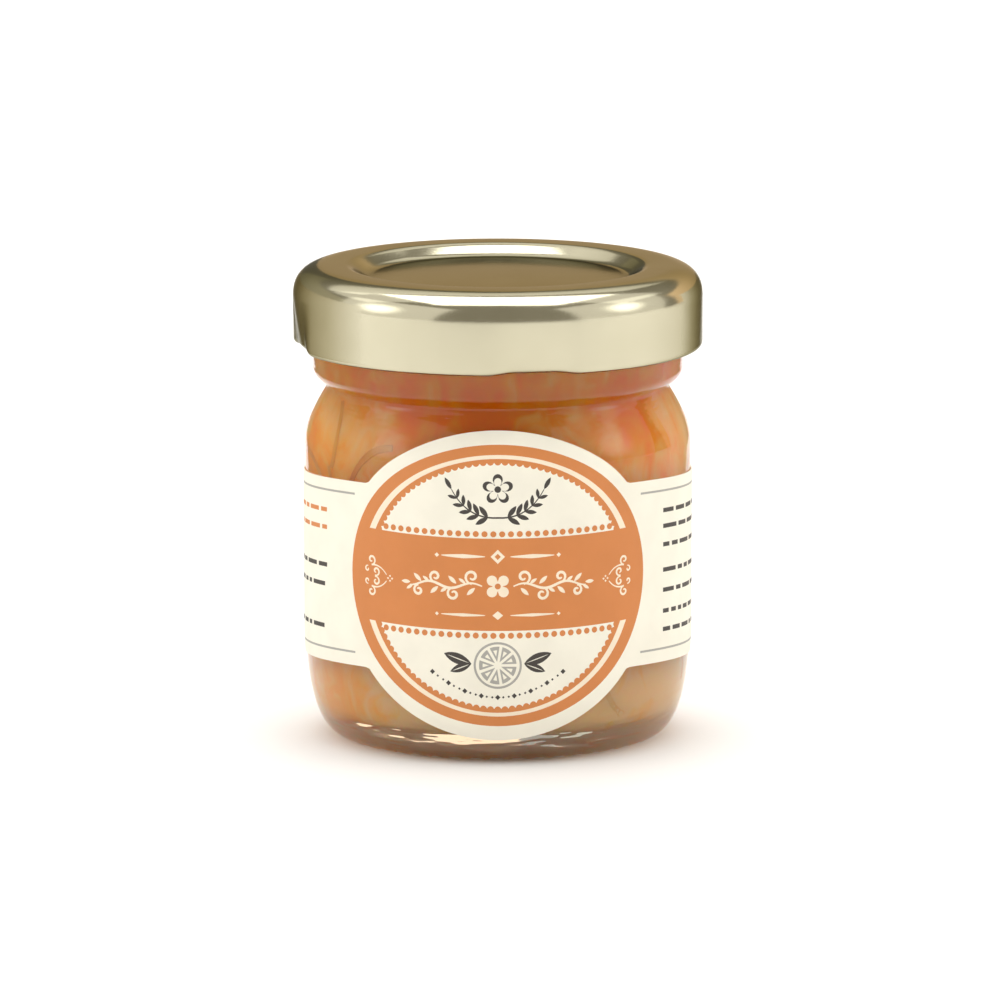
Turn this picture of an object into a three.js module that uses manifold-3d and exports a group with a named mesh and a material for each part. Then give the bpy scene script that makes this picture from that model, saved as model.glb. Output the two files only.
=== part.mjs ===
// A small round jar of marmalade: a thick glass jar filled up into its neck, shut with a twist-off
// metal lid and wrapped in a die-cut paper label. Millimetres, +Z up, the origin in the middle of the
// ring that the jar stands on. The round front of the label faces -Y.
import * as THREE from 'three';
import { mergeVertices } from 'three/addons/utils/BufferGeometryUtils.js';
import Module from 'manifold-3d';

const wasm = await Module();
wasm.setup();

// Every round piece is turned in the same number of steps, so their flats lie parallel.
const ROUND_STEPS = 64;

// Glass jar, outside
const BODY_RADIUS = 21.85;
const STANDING_RING_OUTER = 17.5;
const STANDING_RING_INNER = 15.4;
const PUSH_UP = 1.1;
const PUSH_UP_FLAT_RADIUS = 11.5;
const HEEL_HEIGHT = 13.2;
const HEEL_ROUNDNESS = 2.35;
const SHOULDER_FOOT = 33.5;
const SHOULDER_TURN = 35.7;
const NECK_RADIUS = 19.35;
const NECK_HEIGHT = 39.7;
const NECK_LAND = 0.4;
const BEAD_RADIUS = 20.95;
const BEAD_UNDERSIDE = 41.0;
const BEAD_BOTTOM = 42.0;
const BEAD_TOP = 45.4;
const FINISH_RADIUS = 20.1;
const FINISH_FOOT = 46.0;
const RIM_HEIGHT = 53.0;
const RIM_ROUNDING = 0.8;

// Glass jar, inside
const BODY_WALL = 3.0;
const INNER_BODY_RADIUS = BODY_RADIUS - BODY_WALL;
const MOUTH_RADIUS = 17.0;
const FLOOR_HEIGHT = 3.2;
const INNER_HEEL_HEIGHT = 9.5;
const INNER_FLOOR_RADIUS = 14.2;
const INNER_SHOULDER_FOOT = 33.2;
const INNER_SHOULDER_TURN = 36.5;
const INNER_NECK_HEIGHT = 40.8;

// Marmalade
const FILL_HEIGHT = 45.8;
const FILL_GAP = 0.1;

// Lid of lacquered tinplate
const LID_RADIUS = 23.2;
const LID_TOP = 53.5;
const LID_BOTTOM = 44.3;
const TINPLATE = 0.3;
const CREST_INNER_RADIUS = 16.85;
const CREST_OUTER_RADIUS = 19.4;
const SHOULDER_DROP = 3.4;
const PANEL_RADIUS = 14.8;
const PANEL_DEPTH = 1.3;
const PANEL_DOME = 0.25;
const CURL_HEIGHT = 1.3;
const CURL_WIDTH = 1.4;

// The lugs are short stretches of the rolled edge that are pressed inward and a little up.
const LUG_COUNT = 4;
const FIRST_LUG_DEGREES = 10.5;
const LUG_FULL_REACH = 2.2;
const LUG_END_REACH = 5.7;
const LUG_HEIGHT = 2.7;
const LUG_PRESS = 0.6;
const LUG_LIFT = 0.25;

// Label: a round front that runs into a band round the jar. The front is an ellipse on the unrolled
// paper, a little deeper below its middle than above, and its sides lie a little higher than its
// middle. The band sinks towards the sides and stops short of itself behind.
const DISC_CENTRE_HEIGHT = 20.65;
const DISC_HALF_WIDTH = 19.75;
const DISC_RISE = 17.25;
const DISC_DROP = 17.85;
const DISC_SIDE_RISE = 0.5;
const BAND_TOP = 31.25;
const BAND_BOTTOM = 10.3;
const BAND_SINK = 1.1;
const SINK_START_DEGREES = 38;
const SINK_END_DEGREES = 100;
const BAND_GAP_DEGREES = 22;
const LABEL_STEPS = 120;
const COAT_FOOT_RADIUS = 18.5;
const LABEL_GAP = 0.06;
const PAPER = 0.14;

function point(radius, height) {
  return new THREE.Vector2(radius, height);
}

// Points of a bend from one point to another that leaves and arrives in line with a corner.
function bend(start, corner, end, steps) {
  return new THREE.QuadraticBezierCurve(start, corner, end).getPoints(steps);
}

// Drops points that repeat the one before, where two stretches of a profile meet.
function joined(...stretches) {
  return stretches.flat().filter((at, index, all) => index === 0 || at.distanceTo(all[index - 1]) > 1e-6);
}

// A profile of radius and height turned about the Z axis.
function turned(profile) {
  return new THREE.LatheGeometry(profile, ROUND_STEPS).rotateX(Math.PI / 2);
}

// The heel swells from the standing ring to the body along a superellipse.
function heelProfile() {
  const steps = 10;
  const reach = BODY_RADIUS - STANDING_RING_OUTER;
  return Array.from({ length: steps + 1 }, (_, step) => {
    const angle = (Math.PI / 2) * (step / steps);
    const out = Math.sin(angle) ** (2 / HEEL_ROUNDNESS);
    const down = Math.cos(angle) ** (2 / HEEL_ROUNDNESS);
    return point(STANDING_RING_OUTER + reach * out, HEEL_HEIGHT * (1 - down));
  });
}

function shoulderProfile() {
  const foot = point(BODY_RADIUS, SHOULDER_FOOT);
  return bend(foot, point(BODY_RADIUS, SHOULDER_TURN), point(NECK_RADIUS, NECK_HEIGHT), 6);
}

// The inside of the glass from the neck down to the flat of the floor.
function glassInside() {
  const neck = point(MOUTH_RADIUS, INNER_NECK_HEIGHT);
  const underShoulder = point(INNER_BODY_RADIUS, INNER_SHOULDER_FOOT);
  const shoulder = bend(neck, point(INNER_BODY_RADIUS, INNER_SHOULDER_TURN), underShoulder, 4);
  const aboveHeel = point(INNER_BODY_RADIUS, INNER_HEEL_HEIGHT);
  const floorEdge = point(INNER_FLOOR_RADIUS, FLOOR_HEIGHT);
  const heel = bend(aboveHeel, point(INNER_BODY_RADIUS, FLOOR_HEIGHT), floorEdge, 5);
  return joined(shoulder, heel);
}

function glassJar() {
  const pushUpTurn = point(PUSH_UP_FLAT_RADIUS, PUSH_UP);
  const underside = bend(point(0, PUSH_UP), pushUpTurn, point(STANDING_RING_INNER, 0), 4);
  const neckTop = point(NECK_RADIUS, NECK_HEIGHT + NECK_LAND);
  const bead = bend(neckTop, point(BEAD_RADIUS, BEAD_UNDERSIDE), point(BEAD_RADIUS, BEAD_BOTTOM), 4);
  const finish = [
    point(BEAD_RADIUS, BEAD_TOP),
    point(FINISH_RADIUS, FINISH_FOOT),
    point(FINISH_RADIUS, RIM_HEIGHT - RIM_ROUNDING),
    point(FINISH_RADIUS - RIM_ROUNDING, RIM_HEIGHT),
    point(MOUTH_RADIUS + RIM_ROUNDING, RIM_HEIGHT),
    point(MOUTH_RADIUS, RIM_HEIGHT - RIM_ROUNDING),
  ];
  const floorMiddle = [point(0, FLOOR_HEIGHT)];
  return turned(joined(underside, heelProfile(), shoulderProfile(), bead, finish, glassInside(), floorMiddle));
}

// The marmalade takes the inside of the glass, a hair smaller, up to its level in the neck.
function marmalade() {
  const wall = glassInside()
    .reverse()
    .map((at) => point(at.x - FILL_GAP, at.y + FILL_GAP));
  const bottom = [point(0, FLOOR_HEIGHT + FILL_GAP)];
  const top = [point(MOUTH_RADIUS - FILL_GAP, FILL_HEIGHT), point(0, FILL_HEIGHT)];
  return turned(joined(bottom, wall, top));
}

// The lid's rounded shoulder, from the skirt up to the crest, on the skin that lies inset into the sheet.
function lidShoulder(inset, steps) {
  const radius = LID_RADIUS - inset;
  const top = LID_TOP - inset;
  const foot = point(radius, LID_TOP - SHOULDER_DROP);
  return bend(foot, point(radius, top), point(CREST_OUTER_RADIUS, top), steps);
}

// The rolled edge, from its top round the inside and under to the skirt.
function lidCurl() {
  const middle = point(LID_RADIUS - CURL_WIDTH / 2, LID_BOTTOM + CURL_HEIGHT / 2);
  const start = Math.PI / 2;
  const end = Math.PI * 2;
  const roll = new THREE.EllipseCurve(middle.x, middle.y, CURL_WIDTH / 2, CURL_HEIGHT / 2, start, end);
  return roll.getPoints(7);
}

// How fully a place on the lid's edge belongs to a lug, from 0 beside it to 1 at its middle.
function lugStrength(x, y) {
  const degreesFromFront = THREE.MathUtils.radToDeg(Math.atan2(x, -y));
  const spacing = 360 / LUG_COUNT;
  const turn = THREE.MathUtils.euclideanModulo(degreesFromFront - FIRST_LUG_DEGREES + spacing / 2, spacing);
  const distance = THREE.MathUtils.degToRad(Math.abs(turn - spacing / 2)) * LID_RADIUS;
  return 1 - THREE.MathUtils.smoothstep(distance, LUG_FULL_REACH, LUG_END_REACH);
}

function pressLugs(geometry) {
  const places = geometry.getAttribute('position');
  for (let index = 0; index < places.count; index += 1) {
    const x = places.getX(index);
    const y = places.getY(index);
    const height = places.getZ(index);
    const lowness = 1 - THREE.MathUtils.smoothstep(height, LID_BOTTOM, LID_BOTTOM + LUG_HEIGHT);
    const press = lugStrength(x, y) * lowness;
    const shrink = 1 - (LUG_PRESS * press) / LID_RADIUS;
    places.setXYZ(index, x * shrink, y * shrink, height + LUG_LIFT * press);
  }
  return geometry;
}

// The sunk panel in the lid's top, which rises a little from its edge to its middle.
function lidPanel(inset) {
  const edge = point(PANEL_RADIUS + inset / 2, LID_TOP - PANEL_DEPTH - inset);
  const top = edge.y + PANEL_DOME;
  return bend(edge, point(edge.x / 2, top), point(0, top), 3);
}

function lid() {
  const bevelTop = point(CREST_INNER_RADIUS, LID_TOP);
  const innerBevelTop = point(CREST_INNER_RADIUS + TINPLATE / 2, LID_TOP - TINPLATE);
  const innerPanel = [...lidPanel(TINPLATE).reverse(), innerBevelTop];
  const innerSkin = lidShoulder(TINPLATE, 4).reverse();
  const innerSkirtFoot = [point(LID_RADIUS - TINPLATE, LID_BOTTOM + CURL_HEIGHT)];
  const outerSkin = lidShoulder(0, 6);
  const outerPanel = [bevelTop, ...lidPanel(0)];
  return pressLugs(turned(joined(innerPanel, innerSkin, innerSkirtFoot, lidCurl(), outerSkin, outerPanel)));
}

// A closed geometry as a solid that can be cut, with its shared corners merged.
function solid(geometry) {
  geometry.deleteAttribute('normal');
  geometry.deleteAttribute('uv');
  const merged = mergeVertices(geometry, 1e-5);
  const vertProperties = new Float32Array(merged.getAttribute('position').array);
  const triVerts = new Uint32Array(merged.index.array);
  return new wasm.Manifold(new wasm.Mesh({ numProp: 3, vertProperties, triVerts }));
}

function geometryOf(body) {
  const { vertProperties, triVerts } = body.getMesh();
  const geometry = new THREE.BufferGeometry();
  geometry.setAttribute('position', new THREE.BufferAttribute(vertProperties, 3));
  geometry.setIndex(new THREE.BufferAttribute(triVerts, 1));
  return geometry;
}

// A paper-thin coat on the outside of the glass, from the heel to the neck.
function coat() {
  const outside = joined(heelProfile(), shoulderProfile()).filter((at) => at.x > COAT_FOOT_RADIUS);
  const inner = outside.map((at) => point(at.x + LABEL_GAP, at.y)).reverse();
  const outer = outside.map((at) => point(at.x + LABEL_GAP + PAPER, at.y));
  return turned([...outer, ...inner, outer[0]]);
}

// The heights of the label's lower and upper edge at an angle from the front.
function labelEdges(angle) {
  const degrees = Math.abs(THREE.MathUtils.radToDeg(angle));
  const sink = BAND_SINK * THREE.MathUtils.smoothstep(degrees, SINK_START_DEGREES, SINK_END_DEGREES);
  const bandLow = BAND_BOTTOM - sink;
  const bandHigh = BAND_TOP - sink;
  const across = (angle * (BODY_RADIUS + LABEL_GAP + PAPER)) / DISC_HALF_WIDTH;
  if (Math.abs(across) >= 1) {
    return [bandLow, bandHigh];
  }
  const middle = DISC_CENTRE_HEIGHT + DISC_SIDE_RISE * across ** 2;
  const reach = Math.sqrt(1 - across ** 2);
  return [Math.min(bandLow, middle - DISC_DROP * reach), Math.max(bandHigh, middle + DISC_RISE * reach)];
}

// An open collar in the outline of the label, deep enough to cut through the coat. Each column has the
// four corners of the collar's section: low outer, high outer, high inner and low inner.
function labelCutter() {
  const halfWrap = THREE.MathUtils.degToRad(180 - BAND_GAP_DEGREES / 2);
  const places = [];
  const faces = [];
  for (let column = 0; column <= LABEL_STEPS; column += 1) {
    const angle = THREE.MathUtils.lerp(-halfWrap, halfWrap, column / LABEL_STEPS);
    const [low, high] = labelEdges(angle);
    const section = [
      [LID_RADIUS, low],
      [LID_RADIUS, high],
      [COAT_FOOT_RADIUS, high],
      [COAT_FOOT_RADIUS, low],
    ];
    section.forEach(([radius, height]) => {
      places.push(radius * Math.sin(angle), -radius * Math.cos(angle), height);
    });
  }
  const last = LABEL_STEPS * 4;
  for (let here = 0; here < last; here += 4) {
    for (let side = 0; side < 4; side += 1) {
      const next = (side + 1) % 4;
      faces.push(here + side, here + 4 + side, here + 4 + next);
      faces.push(here + side, here + 4 + next, here + next);
    }
  }
  faces.push(0, 1, 2, 0, 2, 3);
  faces.push(last, last + 2, last + 1, last, last + 3, last + 2);
  const collar = new THREE.BufferGeometry();
  collar.setAttribute('position', new THREE.Float32BufferAttribute(places, 3));
  collar.setIndex(faces);
  return solid(collar);
}

function label() {
  return geometryOf(solid(coat()).intersect(labelCutter()));
}

function piece(name, geometry, color, roughness, metalness) {
  const mesh = new THREE.Mesh(geometry, new THREE.MeshStandardMaterial({ color, roughness, metalness }));
  mesh.name = name;
  return mesh;
}

const jar = new THREE.Group();
jar.add(piece('glass_jar', glassJar(), 0xdfe6e2, 0.05, 0));
jar.add(piece('marmalade', marmalade(), 0xb7621c, 0.35, 0));
jar.add(piece('lid', lid(), 0xcfc6a2, 0.3, 0.9));
jar.add(piece('label', label(), 0xf3eedf, 0.6, 0));

export default jar;
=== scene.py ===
# %% [markdown]
# This lesson dresses a small jar of marmalade. Its solids come ready made, at their true sizes, and
# stay as a hidden frame. On top of them come the things that the eye looks for: thick clear glass,
# amber jelly with peel in it, a pale gold twist-off lid and a printed paper label.
# All sizes are written in millimetres and turned into metres at the last moment.

# %% Load the solid model
import math
import random

import bpy
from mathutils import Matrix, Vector
from mathutils.geometry import delaunay_2d_cdt


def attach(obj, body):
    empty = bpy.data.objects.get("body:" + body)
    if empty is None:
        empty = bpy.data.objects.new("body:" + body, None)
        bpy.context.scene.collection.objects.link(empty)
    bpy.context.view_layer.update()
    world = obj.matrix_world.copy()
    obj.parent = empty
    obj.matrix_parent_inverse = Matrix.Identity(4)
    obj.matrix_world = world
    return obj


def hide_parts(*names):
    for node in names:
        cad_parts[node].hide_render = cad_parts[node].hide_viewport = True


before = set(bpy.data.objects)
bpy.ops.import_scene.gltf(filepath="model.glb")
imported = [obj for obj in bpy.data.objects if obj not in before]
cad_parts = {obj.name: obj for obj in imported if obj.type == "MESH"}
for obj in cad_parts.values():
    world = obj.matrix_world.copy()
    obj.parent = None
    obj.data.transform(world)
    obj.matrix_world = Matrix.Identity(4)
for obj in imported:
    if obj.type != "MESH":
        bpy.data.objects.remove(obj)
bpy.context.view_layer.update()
MM = 0.001

# %% [markdown]
# The camera stands a metre away and looks down a little, as a product photographer's would. A long
# lens keeps the jar's sides almost straight. The aim is on the jar's axis, just under half height.

# %% Place the camera
CAMERA_DISTANCE = 1000 * MM
CAMERA_RISE = math.radians(10.1)
CAMERA_AIM = Vector((0.25 * MM, 0, 26.4 * MM))
LONG_LENS = 316.8
SENSOR_WIDTH = 36

camera = bpy.data.objects.new("camera", bpy.data.cameras.new("camera"))
camera.data.lens = LONG_LENS
camera.data.sensor_width = SENSOR_WIDTH
camera.data.clip_start = 10 * MM
toward_camera = Vector((0, -math.cos(CAMERA_RISE), math.sin(CAMERA_RISE)))
camera.location = CAMERA_AIM + toward_camera * CAMERA_DISTANCE
camera.rotation_euler = toward_camera.to_track_quat("Z", "Y").to_euler()
bpy.context.scene.collection.objects.link(camera)
bpy.context.scene.camera = camera
print("camera at", [round(value, 3) for value in camera.location])

# %% [markdown]
# A jar is a turned form, so its drawing is one profile: radius across, height up. The glass profile
# runs from the middle of the underside out, up the outside, over the rim and down the inside. It
# could be drawn by hand point by point, but a few bends and one superellipse give it smoothly.

# %% Draw the profiles
BODY_RADIUS = 21.85
NECK_RADIUS = 19.35
RING_OUTER = 17.5
RING_INNER = 15.4
HEEL_HEIGHT = 13.2
HEEL_ROUNDNESS = 2.35
SHOULDER_FOOT = 33.5
SHOULDER_CORNER = 35.7
SHOULDER_TOP = 39.7
BORE_RADIUS = 18.85
BORE_TOP = 33.2
BORE_CORNER = 36.5
MOUTH_RADIUS = 17.0
MOUTH_FOOT = 40.8
INNER_HEEL = 9.5
INNER_FLOOR_RADIUS = 14.2
FLOOR_HEIGHT = 3.2
LID_RADIUS = 23.2
LID_TOP = 53.5
LID_BOTTOM = 44.3


def bend(start, corner, end, steps):
    start, corner, end = Vector(start), Vector(corner), Vector(end)
    places = []
    for step in range(steps + 1):
        t = step / steps
        places.append(start * (1 - t) ** 2 + corner * 2 * t * (1 - t) + end * t * t)
    return places


def straight(start, end, steps):
    return [Vector(start).lerp(Vector(end), step / steps) for step in range(steps + 1)]


def joined(*stretches):
    places = []
    for stretch in stretches:
        for place in stretch:
            if not places or (Vector(place) - places[-1]).length > 1e-5:
                places.append(Vector(place))
    return places


def heel(steps=26):
    places = []
    for step in range(steps + 1):
        angle = math.pi / 2 * step / steps
        out = math.sin(angle) ** (2 / HEEL_ROUNDNESS)
        down = max(math.cos(angle), 0) ** (2 / HEEL_ROUNDNESS)
        across = RING_OUTER + (BODY_RADIUS - RING_OUTER) * out
        places.append(Vector((across, HEEL_HEIGHT * (1 - down))))
    return places


def outside():
    foot = (BODY_RADIUS, SHOULDER_FOOT)
    body = straight((BODY_RADIUS, HEEL_HEIGHT), foot, 8)
    shoulder = bend(foot, (BODY_RADIUS, SHOULDER_CORNER), (NECK_RADIUS, SHOULDER_TOP), 16)
    return joined(heel(), body, shoulder)


def inside(into_wall):
    wall = BORE_RADIUS + into_wall
    floor = FLOOR_HEIGHT - into_wall
    mouth = (MOUTH_RADIUS + into_wall, MOUTH_FOOT)
    shoulder = bend(mouth, (wall, BORE_CORNER), (wall, BORE_TOP), 12)
    body = straight((wall, BORE_TOP), (wall, INNER_HEEL), 8)
    heel_bend = bend((wall, INNER_HEEL), (wall, floor), (INNER_FLOOR_RADIUS, floor), 14)
    return joined(shoulder, body, heel_bend)


print("the outside has", len(outside()), "points and the inside", len(inside(0)))

# %% [markdown]
# All six pieces are turned or wrapped by Geometry Nodes trees, so these helpers serve them all. They
# start a tree, add a node with its inputs, do the sums of a tree in a few short words, and run a tree
# once on a mesh. The result is kept as a plain mesh, because a modifier left on a piece would be lost
# when the model is exported.

# %% Helpers for node trees
KINDS = {"int": "NodeSocketInt", "float": "NodeSocketFloat", "material": "NodeSocketMaterial"}


def new_tree(name, inputs):
    tree = bpy.data.node_groups.new(name, "GeometryNodeTree")
    tree.is_modifier = True
    tree.interface.new_socket("Geometry", in_out="INPUT", socket_type="NodeSocketGeometry")
    for label, kind in inputs.items():
        tree.interface.new_socket(label, in_out="INPUT", socket_type=KINDS[kind])
    tree.interface.new_socket("Geometry", in_out="OUTPUT", socket_type="NodeSocketGeometry")
    return tree, tree.nodes.new("NodeGroupInput"), tree.nodes.new("NodeGroupOutput")


def add(tree, kind, sources=None, **settings):
    node = tree.nodes.new(kind)
    for name, value in settings.items():
        setattr(node, name, value)
    for socket, source in (sources or {}).items():
        if isinstance(source, bpy.types.NodeSocket):
            tree.links.new(source, node.inputs[socket])
        else:
            node.inputs[socket].default_value = source
    return node


def calc(tree, operation, *values):
    sources = dict(enumerate(values))
    return add(tree, "ShaderNodeMath", sources, operation=operation).outputs[0]


def plus(tree, first, second):
    return calc(tree, "ADD", first, second)


def minus(tree, first, second):
    return calc(tree, "SUBTRACT", first, second)


def times(tree, first, second):
    return calc(tree, "MULTIPLY", first, second)


def ranged(tree, value, from_low, from_high, to_low, to_high):
    sources = {0: value, 1: from_low, 2: from_high, 3: to_low, 4: to_high}
    return add(tree, "ShaderNodeMapRange", sources).outputs[0]


def fading(tree, value, full, gone):
    sources = {0: value, 1: full, 2: gone, 3: 1.0, 4: 0.0}
    return add(tree, "ShaderNodeMapRange", sources, interpolation_type="SMOOTHSTEP").outputs[0]


def apart(tree, place):
    parts = add(tree, "ShaderNodeSeparateXYZ", {0: place})
    return [parts.outputs[axis] for axis in "XYZ"]


def together(tree, x=0, y=0, z=0):
    return add(tree, "ShaderNodeCombineXYZ", {0: x, 1: y, 2: z}).outputs[0]


def point_axes(tree):
    return apart(tree, add(tree, "GeometryNodeInputPosition").outputs[0])


def swung(tree, reach, angle, height):
    across = times(tree, reach, calc(tree, "SINE", angle))
    back = times(tree, reach, calc(tree, "COSINE", angle))
    return together(tree, across, times(tree, back, -1), height)


def shifted(tree, geometry, **where):
    return add(tree, "GeometryNodeSetPosition", {0: geometry, **where}).outputs[0]


def held_off(tree, geometry, gap):
    return shifted(tree, geometry, Offset=together(tree, y=times(tree, gap, -1)))


def run_tree(name, mesh, tree, values):
    piece = bpy.data.objects.new(name, mesh)
    bpy.context.scene.collection.objects.link(piece)
    modifier = piece.modifiers.new(tree.name, "NODES")
    modifier.node_group = tree
    for item in tree.interface.items_tree:
        if item.in_out == "INPUT" and item.name in values:
            modifier[item.identifier] = values[item.name]
    result = piece.evaluated_get(bpy.context.evaluated_depsgraph_get())
    plain = bpy.data.meshes.new_from_object(result)
    piece.modifiers.remove(modifier)
    piece.data = plain
    plain.name = name
    corners = [face.loop_total - 2 for face in plain.polygons]
    print(name, "has", sum(corners), "triangles")
    return piece


def line_mesh(name, lines):
    mesh = bpy.data.meshes.new(name)
    places = [tuple(place) for line in lines for place in line]
    edges = []
    first = 0
    for line in lines:
        edges += [(first + step, first + step + 1) for step in range(len(line) - 1)]
        first += len(line)
    mesh.from_pydata(places, edges, [])
    return mesh


def profile_mesh(name, profile):
    return line_mesh(name, [[(place.x * MM, 0, place.y * MM) for place in profile]])


print("a tree can take", list(KINDS))

# %% [markdown]
# The first tree is a lathe. A flat grid gets one row for each point of the profile and one column for
# each step of the turn. Every grid point looks up its profile point by its row, and swings it round
# the axis by its column. The Screw modifier could do the same, but the tree shows how it works, and
# it welds the seam and the poles as well.

# %% Build the lathe tree
SHARP_EDGE = math.radians(35)


def finished(tree, geometry, material, end):
    angle = add(tree, "GeometryNodeInputMeshEdgeAngle").outputs[0]
    sharp = add(tree, "FunctionNodeCompare", {0: angle, 1: SHARP_EDGE}, operation="GREATER_THAN")
    real = add(tree, "GeometryNodeRealizeInstances", {0: geometry}).outputs[0]
    smooth = add(tree, "GeometryNodeSetShadeSmooth", {0: real}, domain="FACE").outputs[0]
    edges = {0: smooth, 1: sharp.outputs[0], 2: False}
    crisp = add(tree, "GeometryNodeSetShadeSmooth", edges, domain="EDGE").outputs[0]
    if material is not None:
        crisp = add(tree, "GeometryNodeSetMaterial", {0: crisp, "Material": material}).outputs[0]
    tree.links.new(crisp, end.inputs[0])


def lathe_tree():
    tree, start, end = new_tree("Lathe", {"Steps": "int", "Material": "material"})
    profile, steps = start.outputs["Geometry"], start.outputs["Steps"]
    rows = add(tree, "GeometryNodeAttributeDomainSize", {0: profile}).outputs[0]
    columns = plus(tree, steps, 1)
    grid = add(tree, "GeometryNodeMeshGrid", {"Vertices X": rows, "Vertices Y": columns})
    index = add(tree, "GeometryNodeInputIndex").outputs[0]
    row = calc(tree, "FLOOR", calc(tree, "DIVIDE", plus(tree, index, 0.5), columns))
    column = minus(tree, index, times(tree, row, columns))
    angle = calc(tree, "DIVIDE", times(tree, column, 2 * math.pi), steps)
    place = add(tree, "GeometryNodeInputPosition").outputs[0]
    at_row = {0: profile, 1: place, "Index": row}
    looked_up = add(tree, "GeometryNodeSampleIndex", at_row, data_type="FLOAT_VECTOR").outputs[0]
    x, _, z = apart(tree, looked_up)
    turned = shifted(tree, grid.outputs[0], Position=swung(tree, x, angle, z))
    welded = add(tree, "GeometryNodeMergeByDistance", {0: turned, "Distance": 1e-6}).outputs[0]
    outward = add(tree, "GeometryNodeFlipFaces", {0: welded}).outputs[0]
    finished(tree, outward, start.outputs["Material"], end)
    return tree


LATHE = lathe_tree()
print("the lathe tree has", len(LATHE.nodes), "nodes")

# %% [markdown]
# Materials come before the pieces, because the trees hand them out. Each is built on one Principled
# shader. A pattern never reaches a socket that is the same all over, and every pattern is measured in
# the jar's own space, so it stays put when the view turns.

# %% Helpers for materials


def shader(name, **values):
    material = bpy.data.materials.new(name)
    material.use_nodes = True
    tree = material.node_tree
    surface = tree.nodes["Principled BSDF"]
    for label, value in values.items():
        surface.inputs[label.replace("_", " ")].default_value = value
    return material, tree, surface


def own_space(tree, stretch=(1, 1, 1)):
    here = add(tree, "ShaderNodeTexCoord").outputs["Object"]
    return add(tree, "ShaderNodeMapping", {"Vector": here, "Scale": stretch}).outputs[0]


def own_axes(tree):
    return apart(tree, add(tree, "ShaderNodeTexCoord").outputs["Object"])


def noise(tree, space, scale, detail=3.0, roughness=0.5, twist=0.0):
    sources = {"Vector": space, "Scale": scale, "Detail": detail, "Roughness": roughness}
    return add(tree, "ShaderNodeTexNoise", {**sources, "Distortion": twist}).outputs["Fac"]


def ramp(tree, value, stops):
    node = add(tree, "ShaderNodeValToRGB", {0: value})
    band = node.color_ramp
    while len(band.elements) < len(stops):
        band.elements.new(0.5)
    for element, (place, colour) in zip(band.elements, stops):
        element.position = place
        element.color = (*colour, 1)
    return node.outputs["Color"]


def bump(tree, surface, height, distance, strength=1.0):
    sources = {"Height": height, "Distance": distance, "Strength": strength}
    tree.links.new(add(tree, "ShaderNodeBump", sources).outputs[0], surface.inputs["Normal"])


print("materials so far", len(bpy.data.materials))

# %% [markdown]
# Moulded glass is never quite flat: its skin has slow waves that bend reflections a little, and level
# ripples at the base and the neck. Glass also throws a nearly clear shadow, so for shadow rays alone
# the shader is swapped for a clear one. Otherwise the jelly inside would come out dark and noisy.

# %% Glass
glass, tree, surface = shader(
    "jar glass",
    Base_Color=(0.992, 0.998, 0.994, 1),
    Roughness=0.05,
    IOR=1.52,
    Transmission_Weight=1.0,
)
slow_waves = noise(tree, own_space(tree), 90, detail=1.5)
ripples = noise(tree, own_space(tree, (1, 1, 5)), 130, detail=2)
height = own_axes(tree)[2]
in_base = ranged(tree, height, 9 * MM, 4 * MM, 0.15, 1.0)
in_neck = ranged(tree, height, 35 * MM, 39 * MM, 0.0, 0.8)
rippled = times(tree, ripples, calc(tree, "MAXIMUM", in_base, in_neck))
bump(tree, surface, plus(tree, times(tree, slow_waves, 0.4), rippled), 0.3 * MM, 0.5)
shadow = add(tree, "ShaderNodeLightPath").outputs["Is Shadow Ray"]
clear = add(tree, "ShaderNodeBsdfTransparent", {"Color": (0.99, 0.985, 0.98, 1)}).outputs[0]
mixed = add(tree, "ShaderNodeMixShader", {0: shadow, 1: surface.outputs[0], 2: clear}).outputs[0]
tree.links.new(mixed, tree.nodes["Material Output"].inputs["Surface"])
print("glass bends light by", surface.inputs["IOR"].default_value)

# %% [markdown]
# Marmalade is jelly round cut peel. Light goes in, is coloured amber and comes out nearby, which is
# subsurface scattering. Slow noise makes paler and deeper places, and fine twisted noise hints at
# shreds that lie too deep to see clearly. The colour is deeper in the neck and painted paler towards
# the bottom, as painted light that stands in for the light the jelly carries down to its base.
# The jelly touches the glass, so it has almost no gloss of its own.

# %% Marmalade and peel
JELLY_RADIUS = (1.0, 0.28, 0.05)


# Paler towards the bottom of the jar: painted light, standing in for light carried down to the base.
def painted_light_below(tree):
    return ranged(tree, own_axes(tree)[2], 40 * MM, 4 * MM, 0.0, 0.5)


jelly, tree, surface = shader(
    "marmalade jelly",
    Roughness=0.35,
    Subsurface_Weight=0.7,
    Subsurface_Radius=JELLY_RADIUS,
    Subsurface_Scale=7.0 * MM,
    Specular_IOR_Level=0.08,
    IOR=1.45,
)
cloudy = noise(tree, own_space(tree), 75, detail=2, twist=0.6)
stringy = noise(tree, own_space(tree, (1, 1, 0.75)), 260, detail=3, twist=1.6)
clouds = plus(tree, times(tree, cloudy, 0.65), times(tree, stringy, 0.35))
in_neck = ranged(tree, own_axes(tree)[2], 37 * MM, 41 * MM, 0.0, 0.22)
streaked = minus(tree, ranged(tree, clouds, 0.38, 0.62, 0.05, 0.75), in_neck)
# Painted light: the jelly's colour is painted paler towards the bottom.
paleness = plus(tree, streaked, painted_light_below(tree))
amber = ramp(
    tree,
    paleness,
    [
        (0.05, (1.00, 0.195, 0.000)),
        (0.35, (0.96, 0.290, 0.006)),
        (0.65, (0.92, 0.410, 0.075)),
        (1.00, (0.88, 0.520, 0.220)),
    ],
)
tree.links.new(amber, surface.inputs["Base Color"])

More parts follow.
